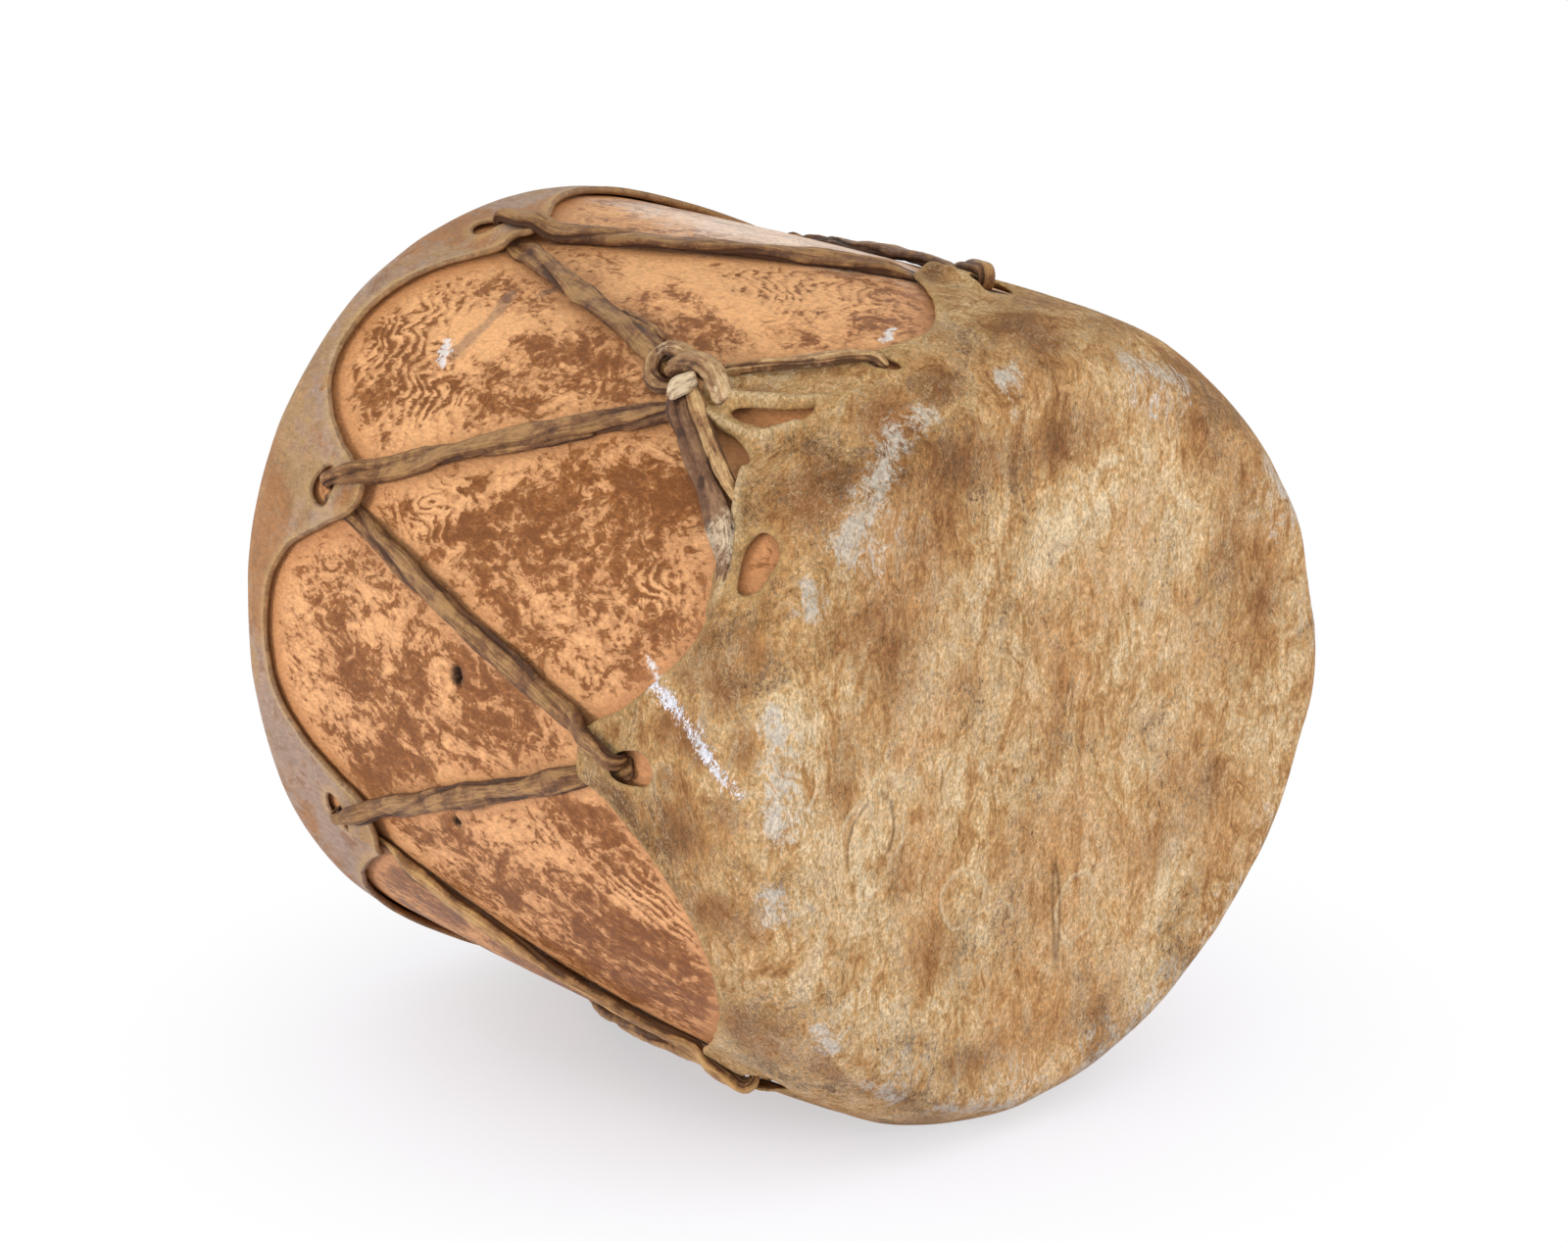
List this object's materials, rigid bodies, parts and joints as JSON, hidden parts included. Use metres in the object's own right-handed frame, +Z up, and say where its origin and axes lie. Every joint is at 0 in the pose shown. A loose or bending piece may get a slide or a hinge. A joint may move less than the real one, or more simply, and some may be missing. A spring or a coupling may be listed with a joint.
{
  "type": "rawhide log drum",
  "caption": "Hollowed log drum lying on its side, with a laced rawhide head on each end and zigzag rawhide thongs between their tabbed skirts.",
  "frame": {"origin": "centre of the bottom of the bounding box, on the floor under the drum as it lies on its side", "axes": "+X along the drum's axis towards the played head, which dips 2.64 degrees below +X as the drum rests; +Z up; -Y is the side with the knot"},
  "size_m": [0.2952, 0.2996, 0.2981],
  "materials": {
    "log_wood": "scraped terracotta-brown softwood with a swirled grain",
    "head_rawhide": "dried tan rawhide, mottled and scuffed",
    "thong_rawhide": "twisted grey-brown rawhide thong"
  },
  "bodies": {
    "root": {"broad_knot_strand": "thong_rawhide", "cut_stub": "thong_rawhide", "far_head": "head_rawhide", "knot_core": "thong_rawhide", "knot_loop": "thong_rawhide", "lacing_run_01": "thong_rawhide", "lacing_run_02": "thong_rawhide", "lacing_run_03": "thong_rawhide", "lacing_run_04": "thong_rawhide", "lacing_run_05": "thong_rawhide", "lacing_run_06": "thong_rawhide", "lacing_run_07": "thong_rawhide", "lacing_run_08": "thong_rawhide", "lacing_run_09": "thong_rawhide", "lacing_run_10": "thong_rawhide", "lacing_run_11": "thong_rawhide", "lacing_run_12": "thong_rawhide", "lacing_run_13": "thong_rawhide", "lacing_run_14": "thong_rawhide", "log_shell": "log_wood", "narrow_knot_strand": "thong_rawhide", "played_head": "head_rawhide", "slit_knot_strand": "thong_rawhide", "splice_tail_1": "thong_rawhide", "splice_tail_2": "thong_rawhide", "splice_tail_3": "thong_rawhide"}
  },
  "joints": []
}
